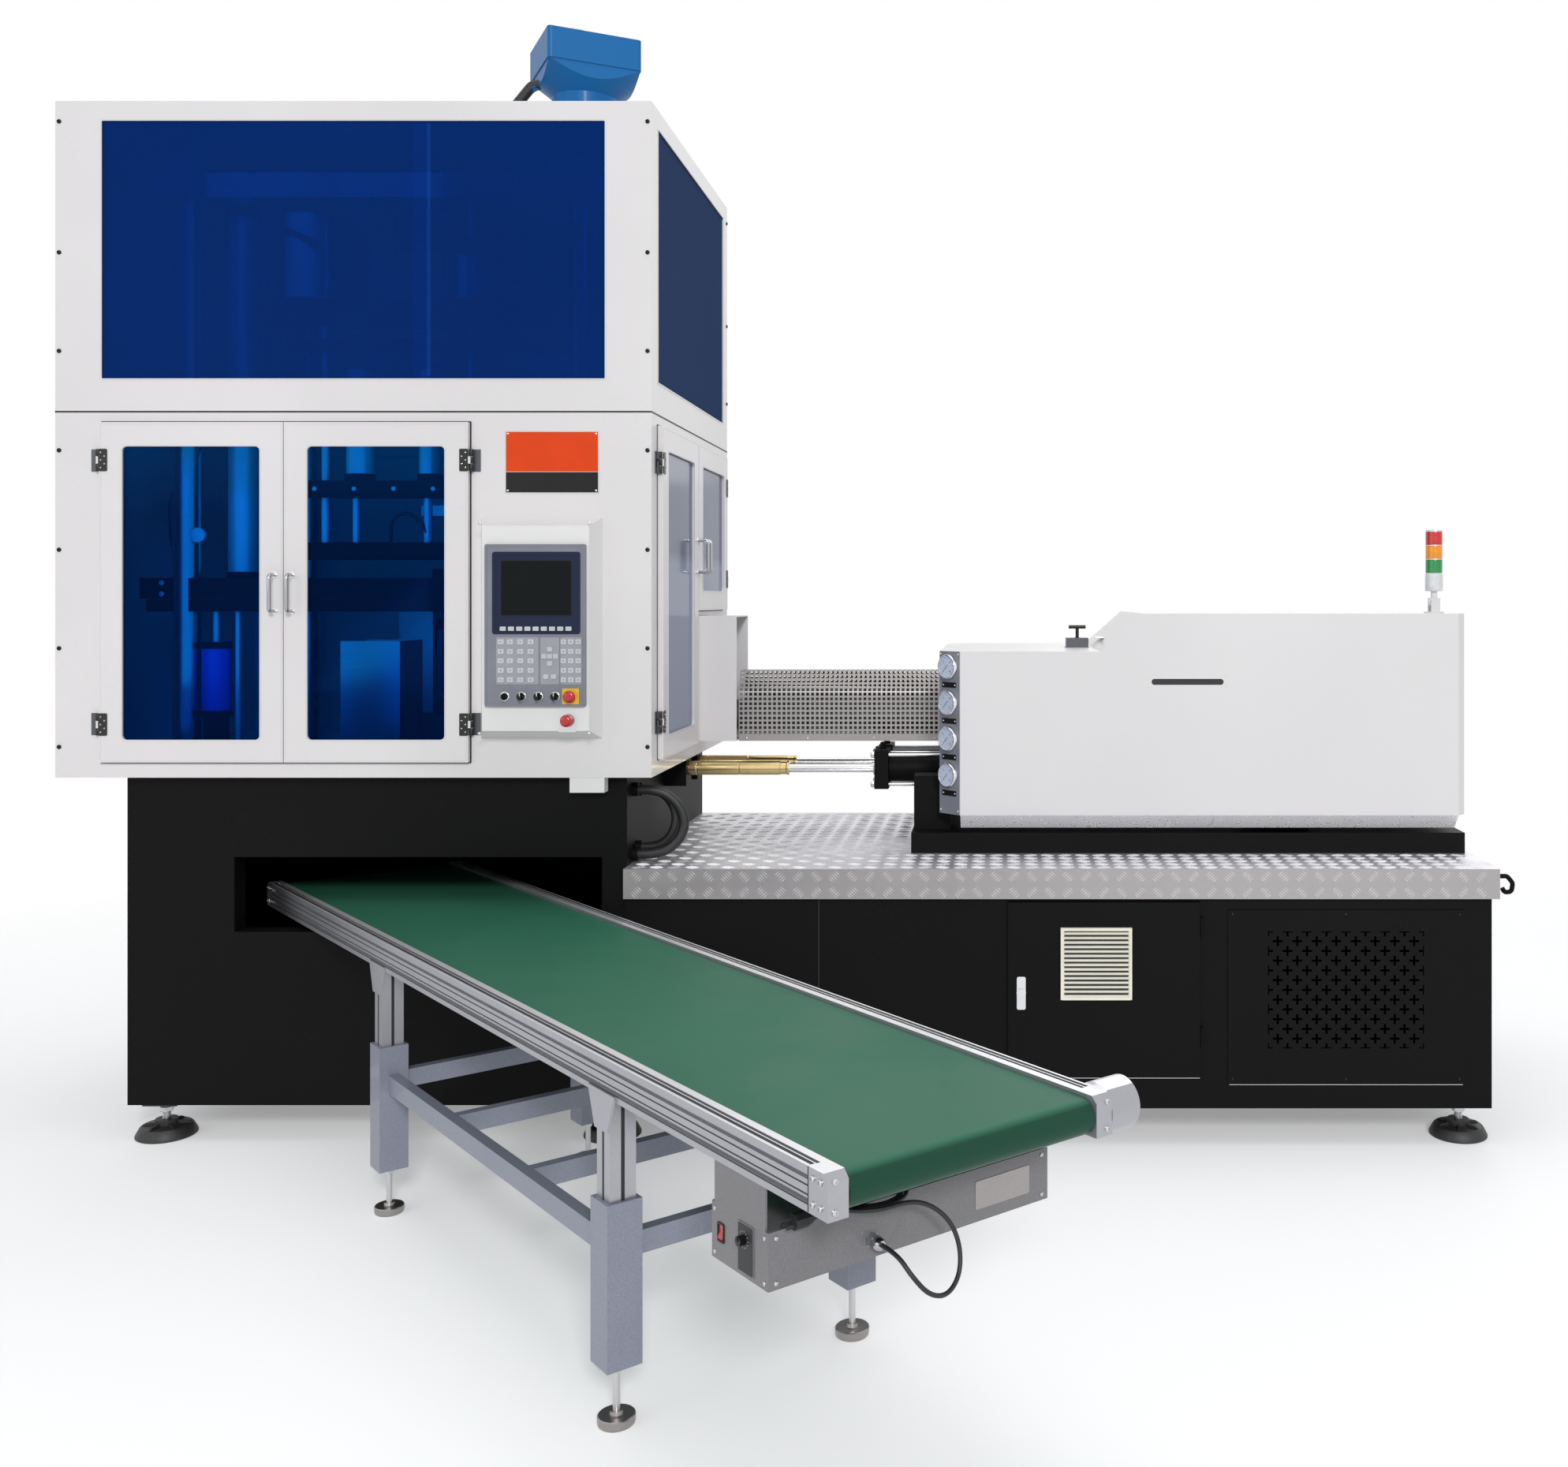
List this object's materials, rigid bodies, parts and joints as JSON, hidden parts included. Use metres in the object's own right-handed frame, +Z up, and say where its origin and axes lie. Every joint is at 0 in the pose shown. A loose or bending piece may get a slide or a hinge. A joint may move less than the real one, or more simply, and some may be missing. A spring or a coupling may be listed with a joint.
{
  "type": "injection stretch blow moulding machine",
  "caption": "Injection stretch blow moulding machine: guarded mould tower, sliding injection unit on a long base, and a belt conveyor from its outlet.",
  "frame": {"origin": "on the floor, under the middle of the whole machine's box", "axes": "+Z up, +X from the guarded tower towards the injection unit, the operator's side faces -Y"},
  "size_m": [4.58, 3.593, 3.8337],
  "materials": {
    "enclosure_white": "off-white enamel on sheet steel",
    "frame_white": "white enamel on square tube",
    "base_black": "near-black enamel, slightly textured",
    "tread_plate": "bright rolled tread plate",
    "hood_grey": "light grey enamel",
    "blue_film_glass": "glass with blue reflective film",
    "door_glass": "glass with blue film",
    "bright_steel": "machined steel",
    "chrome": "polished chrome",
    "dark_steel": "dark machined steel",
    "blue_enamel": "blue enamel",
    "panel_grey": "grey keypad film on a grey bezel",
    "box_white": "off-white enamel on sheet steel",
    "red_plastic": "red plastic",
    "black_plastic": "black plastic",
    "black_rubber": "black rubber",
    "perforated_steel": "perforated stainless sheet",
    "gilt_and_chrome": "zinc-yellow couplings and chrome rods",
    "lamp_plastic": "red, amber and green lamp bodies over white",
    "cream_plastic": "cream plastic louvre",
    "conveyor_paint": "blue-grey enamel",
    "rail_aluminium": "anodised extrusion",
    "belt_green": "green belt",
    "box_grey": "grey enamel"
  },
  "bodies": {
    "root": {"base_frame": "base_black", "cabinet_frame": "base_black", "deck_plate": "tread_plate", "vent_panel": "base_black", "levelling_feet": "dark_steel", "enclosure_frame": "frame_white", "upper_panels": "enclosure_white", "upper_windows": "blue_film_glass", "lower_panels": "enclosure_white", "control_box": "box_white", "control_panel": "panel_grey", "clamp_frame": "chrome", "top_cylinder": "blue_enamel", "injection_mould": "bright_steel", "blow_station": "dark_steel", "eject_chute": "bright_steel", "injection_bed": "base_black", "carriage_rods": "gilt_and_chrome", "bed_hoses": "black_rubber", "conveyor_stand": "conveyor_paint", "hinge_brackets": "bright_steel"},
    "cabinet_door_body": {"cabinet_door": "base_black", "door_louvre": "cream_plastic"},
    "lock_body": {"door_lock": "chrome"},
    "panel_stop": {"stop_button_panel": "red_plastic"},
    "box_stop": {"stop_button_box": "red_plastic"},
    "key": {"key_switch": "chrome"},
    "left_selector": {"selector_left": "black_plastic"},
    "middle_selector": {"selector_middle": "black_plastic"},
    "right_selector": {"selector_right": "black_plastic"},
    "table": {"rotary_table": "dark_steel"},
    "core": {"core_plate": "dark_steel"},
    "stretch": {"stretch_unit": "bright_steel"},
    "left_mould": {"blow_mould_left": "bright_steel"},
    "right_mould": {"blow_mould_right": "bright_steel"},
    "carriage": {"carriage_saddle": "base_black", "carriage_cylinders": "base_black", "injection_unit": "dark_steel", "barrel_guard": "perforated_steel", "hood": "hood_grey", "gauge_panel": "bright_steel"},
    "tower": {"tower_light": "lamp_plastic"},
    "conveyor": {"conveyor_frame": "rail_aluminium", "conveyor_belt": "belt_green", "conveyor_box": "box_grey", "power_cord": "black_rubber", "cord_coil": "black_rubber", "plug": "black_rubber"},
    "drive": {"drive_roller": "bright_steel"},
    "tail": {"tail_roller": "bright_steel"},
    "rocker": {"rocker_switch": "red_plastic"},
    "knob": {"speed_knob": "black_plastic"},
    "leaf_front_left": {"door_front_left": "enclosure_white", "pane_front_left": "door_glass"},
    "leaf_front_right": {"door_front_right": "enclosure_white", "pane_front_right": "door_glass"},
    "leaf_side_front": {"door_side_front": "enclosure_white", "pane_side_front": "door_glass"},
    "leaf_side_rear": {"door_side_rear": "enclosure_white", "pane_side_rear": "door_glass"}
  },
  "joints": [
    {"name": "door_front_left_swing", "type": "hinge", "parent": "root", "child": "leaf_front_left", "pos_m": [-2.148, 0.4645, 1.225], "axis": [0, 0, -1], "range_deg": [0, 110]},
    {"name": "door_front_right_swing", "type": "hinge", "parent": "root", "child": "leaf_front_right", "pos_m": [-0.967, 0.4645, 1.225], "axis": [0, 0, 1], "range_deg": [0, 110]},
    {"name": "door_side_front_swing", "type": "hinge", "parent": "root", "child": "leaf_side_front", "pos_m": [-0.388, 0.5485, 1.225], "axis": [0, 0, -1], "range_deg": [0, 110]},
    {"name": "door_side_rear_swing", "type": "hinge", "parent": "root", "child": "leaf_side_rear", "pos_m": [-0.388, 1.7045, 1.7], "axis": [0, 0, 1], "range_deg": [0, 110]},
    {"name": "cabinet_door_swing", "type": "hinge", "parent": "root", "child": "cabinet_door_body", "pos_m": [1.346, 0.4825, 0.222], "axis": [0, 0, 1], "range_deg": [0, 110]},
    {"name": "door_lock_turn", "type": "hinge", "parent": "cabinet_door_body", "child": "lock_body", "pos_m": [0.772, 0.4965, 0.492], "axis": [0, -1, 0], "range_deg": [0, 90]},
    {"name": "panel_stop_press", "type": "slide", "parent": "root", "child": "panel_stop", "axis": [0, 1, 0], "range_m": [0, 0.005]},
    {"name": "box_stop_press", "type": "slide", "parent": "root", "child": "box_stop", "axis": [0, 1, 0], "range_m": [0, 0.005]},
    {"name": "key_turn", "type": "hinge", "parent": "root", "child": "key", "pos_m": [-0.835, 0.3845, 1.438], "axis": [0, -1, 0], "range_deg": [-90, 0]},
    {"name": "selector_left_turn", "type": "hinge", "parent": "root", "child": "left_selector", "pos_m": [-0.783, 0.3845, 1.438], "axis": [0, -1, 0], "range_deg": [-45, 45]},
    {"name": "selector_middle_turn", "type": "hinge", "parent": "root", "child": "middle_selector", "pos_m": [-0.73, 0.3845, 1.438], "axis": [0, -1, 0], "range_deg": [-45, 45]},
    {"name": "selector_right_turn", "type": "hinge", "parent": "root", "child": "right_selector", "pos_m": [-0.678, 0.3845, 1.438], "axis": [0, -1, 0], "range_deg": [-45, 45]},
    {"name": "table_spin", "type": "hinge", "parent": "root", "child": "table", "pos_m": [-1.214, 1.2165, 1.74], "axis": [0, 0, 1], "continuous": true},
    {"name": "core_press", "type": "slide", "parent": "root", "child": "core", "axis": [0, 0, -1], "range_m": [0, 0.13]},
    {"name": "stretch_stroke", "type": "slide", "parent": "root", "child": "stretch", "axis": [0, 0, -1], "range_m": [0, 0.17]},
    {"name": "left_mould_close", "type": "slide", "parent": "root", "child": "left_mould", "axis": [1, 0, 0], "range_m": [0, 0.0597]},
    {"name": "right_mould_close", "type": "slide", "parent": "root", "child": "right_mould", "axis": [-1, 0, 0], "range_m": [0, 0.0597]},
    {"name": "carriage_travel", "type": "slide", "parent": "root", "child": "carriage", "axis": [1, 0, 0], "range_m": [0, 0.25]},
    {"name": "tower_fold", "type": "hinge", "parent": "carriage", "child": "tower", "pos_m": [2.2, 0.8965, 1.73], "axis": [0, -1, 0], "range_deg": [0, 90]},
    {"name": "conveyor_height", "type": "slide", "parent": "root", "child": "conveyor", "axis": [0, 0, 1], "range_m": [-0.015, 0.06]},
    {"name": "drive_spin", "type": "hinge", "parent": "conveyor", "child": "drive", "pos_m": [0.39686, -1.76892, 0.735], "axis": [0.766, 0.6428, 0], "continuous": true},
    {"name": "tail_spin", "type": "hinge", "parent": "conveyor", "child": "tail", "pos_m": [-1.77448, 0.81878, 0.735], "axis": [0.766, 0.6428, 0], "continuous": true},
    {"name": "rocker_tilt", "type": "hinge", "parent": "conveyor", "child": "rocker", "pos_m": [0.19487, -1.52198, 0.57], "axis": [0.6428, -0.766, 0], "range_deg": [0, 16]},
    {"name": "speed_turn", "type": "hinge", "parent": "conveyor", "child": "knob", "pos_m": [0.24645, -1.58967, 0.585], "axis": [0.766, 0.6428, 0], "range_deg": [-270, 0]}
  ],
  "couplings": [
    {"joint": "right_mould_close", "follows": "left_mould_close", "ratio": 1},
    {"joint": "tail_spin", "follows": "drive_spin", "ratio": 1}
  ]
}
